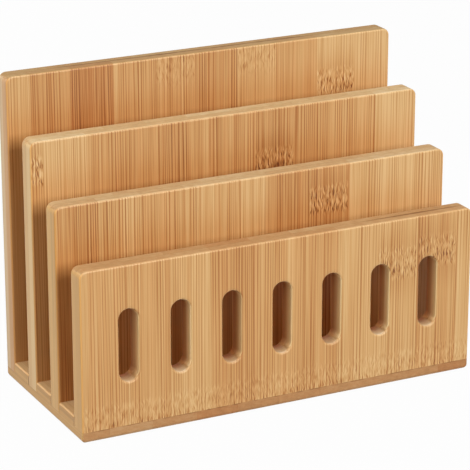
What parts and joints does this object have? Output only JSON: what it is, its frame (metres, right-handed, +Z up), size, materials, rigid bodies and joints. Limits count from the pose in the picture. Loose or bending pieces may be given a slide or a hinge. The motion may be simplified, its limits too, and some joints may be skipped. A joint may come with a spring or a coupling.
{
  "type": "letter rack",
  "caption": "Free-standing bamboo letter rack: stepped upright panels housed in a grooved base board, open-ended compartments between them and round-ended slots along the front panel.",
  "frame": {"origin": "middle of the base board's underside, on the surface that the rack stands on", "axes": "+X to the right along the width of the panels, +Y to the back from the low slotted panel to the tall one, +Z up"},
  "size_m": [0.25, 0.113, 0.1865],
  "materials": {
    "bamboo": "satin clear lacquer on sanded flat-pressed bamboo",
    "zinc_plated_steel": "yellow zinc plating"
  },
  "bodies": {
    "root": {"base_board": "bamboo", "front_panel": "bamboo", "front_divider": "bamboo", "rear_divider": "bamboo", "back_panel": "bamboo", "front_panel_screws": "zinc_plated_steel", "front_divider_screws": "zinc_plated_steel", "rear_divider_screws": "zinc_plated_steel", "back_panel_screws": "zinc_plated_steel"}
  },
  "joints": []
}
